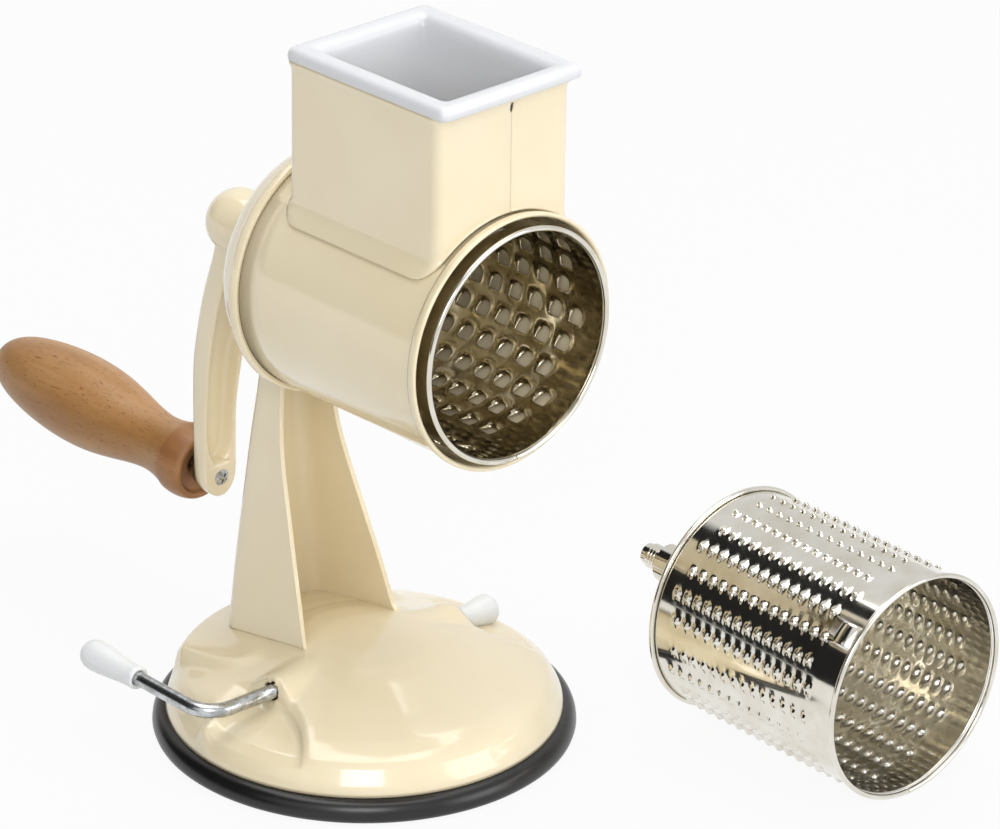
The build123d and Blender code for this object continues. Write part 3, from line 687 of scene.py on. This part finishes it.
def coarse_sheet():
    """Shredding drum: D openings with a raised lip round each arch, rows stepped by a third of the pitch."""
    across, along = radians(COARSE_TURN) * DRUM_R / 6, 1.4
    bm, grid = flat_sheet(148, 54, across, along)
    for row in range(24):
        for j in range(7):
            punched(bm, grid, row * 6, 5 + 2 * (row % 3) + 6 * j, across, along)
    rolled(bm, 195.9 - COARSE_TURN / 2, 1.0, 148 * across)
    # The sheet takes the tinned steel with painted shade and painted reflection of the housing.
    return drum_sheet("coarse_sheet", bm, TINNED_PAINTED_SHADE, "drum", "coarse_drum", FITTED, 1)


def punched(bm, grid, c, k, across, along):
    """One opening in a block of 6 by 6 cells: arch to lower x, straight edge to higher x."""
    opened(bm, grid, range(c + 1, c + 5), range(k + 1, k + 5))
    outer = {grid[c + 3 + u, k + 3 + w]: (u, w) for u in range(-2, 3) for w in range(-2, 3)
             if max(abs(u), abs(w)) == 2}
    edges = list({e for v in outer for e in v.link_edges if e.is_boundary and e.other_vert(v) in outer})
    made = bmesh.ops.extrude_edge_only(bm, edges=edges)["geom"]
    inner = {v: next(outer[e.other_vert(v)] for e in v.link_edges if e.other_vert(v) in outer)
             for v in made if isinstance(v, bmesh.types.BMVert)}
    for verts, grow, lift in ((outer, 0.4, 0.05), (inner, 0.0, 1.0)):
        for v, (u, w) in verts.items():
            if u <= 0:
                turn = atan2(w, -u)
                x, y = -0.1 - (2.6 + grow) * cos(turn), (2.4 + grow) * sin(turn)
            else:
                x = (1.1, 2.1 + grow)[u - 1]
                y = w * (1.2, 1.1)[u - 1] + grow * (w // 2 if w > 0 else -(-w // 2))
            v.co = ((c + 3) * across + x, (k + 3) * along + y, 1.0 * lift * ease((1.0 - x) / 2.6))


def fine_sheet():
    """Grating drum: slender pierced bulges, rows stepped by half the pitch."""
    across, along = radians(FINE_TURN) * DRUM_R / 8, 0.71
    bm, grid = flat_sheet(218, 105, across, along)
    for row in range(27):
        for j in range(14):
            pierced(bm, grid, row * 8, 12 + 3 * (row % 2) + 6 * j, across, along)
    rolled(bm, -78.5 - FINE_TURN / 2, 1.8, 218 * across)
    return drum_sheet("fine_sheet", bm, TINNED, "spare", "fine_drum", SPARE, 0)


# One tooth of the grating drum, by column of its block: place round the drum, the height at its middle,
# flank and foot, and how far flank and foot lie from its middle.
TOOTH = [(1, -2.7, 0.0, 0.0, 0.0, 0.7, 1.2), (2, -1.5, 0.12, 0.06, 0.0, 0.6, 1.15),
         (3, -0.8, 1.05, 0.72, 0.08, 0.62, 1.2), (4, -0.15, 1.1, 0.8, 0.14, 0.72, 1.28),
         (5, 0.5, 0.82, 0.6, 0.1, 0.7, 1.22), (6, 1.15, 0.36, 0.26, 0.03, 0.64, 1.15),
         (7, 2.1, 0.0, 0.0, 0.0, 0.65, 1.15)]


def pierced(bm, grid, c, k, across, along):
    """One tooth in a block of 8 by 6 cells: hole at lower x, hood tallest over it, tail to higher x."""
    opened(bm, grid, (c + 2,), (k + 2, k + 3))
    for a, x, middle, flank, foot, inner, outer in TOOTH:
        for b, y, height in ((1, -outer, foot), (2, -inner, flank), (3, 0, middle), (4, inner, flank),
                             (5, outer, foot)):
            grid[c + a, k + b].co = ((c + 4) * across + x - (0.3 if a == 3 and b == 3 else 0),
                                     (k + 3) * along + y, height)


def wire_rims():
    """Wire rings over both ends of the drum sheets; the joint of the front wire is open."""
    for drum, body, place in (("coarse", "drum", FITTED), ("fine", "spare", SPARE)):
        for end, y, gap in (("front", 0.85, 0.8), ("back", DRUM_L - 0.85, 0.0)):
            bm = bmesh.new()
            loop = bmesh.ops.create_circle(bm, segments=16, radius=0.82)["verts"]
            bmesh.ops.translate(bm, verts=loop, vec=(35.2, y, 0))
            edges = list({e for v in loop for e in v.link_edges})
            bmesh.ops.spin(bm, geom=loop + edges, cent=(0, 0, 0), axis=(0, 1, 0), angle=2 * pi - radians(gap),
                           steps=160, use_merge=not gap)
            if gap:
                bmesh.ops.holes_fill(bm, edges=border(bm), sides=20)
                bmesh.ops.rotate(bm, verts=bm.verts, cent=(0, 0, 0),
                                 matrix=Matrix.Rotation(radians(91.5), 3, "Y"))
            piece(drum + "_" + end + "_wire", bm, TINNED, body, [drum + "_" + end + "_rim"], place,
                  sharp=50)


def lap_patch():
    """Turned-over tab of the grating sheet beside its front wire."""
    bm = flat_sheet(8, 1, 0.98, 9.8)[0]
    bmesh.ops.translate(bm, vec=(0, 0, 0.16), verts=bm.verts)
    rolled(bm, -46.5 - degrees(3.92 / DRUM_R), 2.4)
    return walled(piece("lap_patch", bm, TINNED, "spare", place=SPARE, sharp=None), 0.2)


# ---- studio ----
DARK_SIDE = Vector((-0.7, 0.62, 0.36)).normalized()      # the unlit side of the studio
LAMPS = [("softbox left", (-1.5, -0.1, 0.9), (0.7, 0.9), 1.5),
         ("softbox right", (0.7, -1.6, 0.6), (1.1, 0.9), 8.0),
         ("softbox camera side", (-1.1, -1.15, 1.0), (0.7, 0.7), 9.6),
         ("softbox top", (0.1, 0.1, 1.6), (1.3, 1.3), 13.0)]      # place, size, watts
LAMP_AIM = Vector((0, 0, 0.1))
TABLE_GLOW = 0.92        # how much of its own white the table shows to the camera and in reflections


def surroundings():
    """White to the camera; to the metal a lit studio with one dark side."""
    world = bpy.data.worlds.new("studio")
    bpy.context.scene.world = world
    world.use_nodes = True
    tree = world.node_tree
    lit_side = tree.nodes["Background"]
    way = add(tree, "TexCoord").outputs["Generated"]
    aside = add(tree, "VectorMath", {0: way, 1: DARK_SIDE}, operation="DOT_PRODUCT").outputs["Value"]
    lit = add(tree, "MapRange", {"Value": aside, "From Min": 0.6, "From Max": 0.7, "To Min": 0.8,
                                 "To Max": 0.02}, clamp=True).outputs["Result"]
    glow = add(tree, "CombineColor", {0: lit, 1: lit, 2: lit})
    tree.links.new(glow.outputs["Color"], lit_side.inputs["Color"])
    lit_side.inputs["Strength"].default_value = 1.0
    seen = add(tree, "Background", {"Color": (1, 1, 1, 1), "Strength": 1.0})
    path = add(tree, "LightPath")
    mixed = add(tree, "MixShader", {0: path.outputs["Is Camera Ray"], 1: lit_side.outputs[0],
                                    2: seen.outputs[0]})
    tree.links.new(mixed.outputs[0], tree.nodes["World Output"].inputs["Surface"])


def white_table():
    """White paper sweep that takes soft shadows."""
    bm = bmesh.new()
    bmesh.ops.create_grid(bm, x_segments=1, y_segments=1, size=3.0)
    mesh = bpy.data.meshes.new("table")
    bm.to_mesh(mesh)
    bm.free()
    table = bpy.data.objects.new("table", mesh)
    bpy.context.scene.collection.objects.link(table)
    table.location.z = -0.0002
    material, tree, shader = finish("white paper sweep", "#D0D0D0", roughness=0.9)
    glow = add(tree, "Emission", {"Color": (1, 1, 1, 1), "Strength": 1.0})
    path = add(tree, "LightPath")
    seen = add(tree, "Math", {0: path.outputs["Is Camera Ray"], 1: path.outputs["Is Glossy Ray"]},
               operation="MAXIMUM")
    share = add(tree, "Math", {0: seen.outputs[0], 1: TABLE_GLOW}, operation="MULTIPLY")
    mixed = add(tree, "MixShader", {0: share.outputs[0], 1: shader.outputs[0], 2: glow.outputs[0]})
    tree.links.new(mixed.outputs[0], tree.nodes["Material Output"].inputs["Surface"])
    mesh.materials.append(material)


def softbox(name, place, size, power):
    data = bpy.data.lights.new(name, "AREA")
    data.shape, data.size, data.size_y, data.energy = "RECTANGLE", size[0], size[1], power
    thing = bpy.data.objects.new(name, data)
    thing.location = place
    thing.rotation_euler = (LAMP_AIM - Vector(place)).to_track_quat("-Z", "Y").to_euler()
    bpy.context.scene.collection.objects.link(thing)


def camera():
    """At the photograph's angle: 44 degrees to the left of the front, 25 degrees up, long lens."""
    az, el, roll = radians(-44.178), radians(25.299), radians(0.963)
    back = Vector((sin(az) * cos(el), -cos(az) * cos(el), sin(el)))
    right = Vector((cos(az), sin(az), 0))
    up = back.cross(right)
    right, up = right * cos(roll) + up * sin(roll), up * cos(roll) - right * sin(roll)
    data = bpy.data.cameras.new("camera")
    data.sensor_width, data.lens = 36.0, 180.374
    data.clip_start, data.clip_end = 0.05, 20
    thing = bpy.data.objects.new("camera", data)
    turn = Matrix((right, up, back)).transposed().to_4x4()
    thing.matrix_world = Matrix.Translation(Vector((-0.91136, -0.99525, 0.74209))) @ turn
    bpy.context.scene.collection.objects.link(thing)
    bpy.context.scene.camera = thing


dress_frame_nodes()
for model in (pressed_foot, foot_ring, column_channel, column_head, drum_tube, rear_cover, hopper_box,
              plastic_lip, crank_lever, crank_hub, wooden_handle, lever_bar, lever_ends, coarse_sheet,
              fine_sheet, wire_rims, lap_patch):
    model()
surroundings()
white_table()
for lamp in LAMPS:
    softbox(*lamp)
camera()
bpy.context.scene.view_settings.view_transform = "Standard"
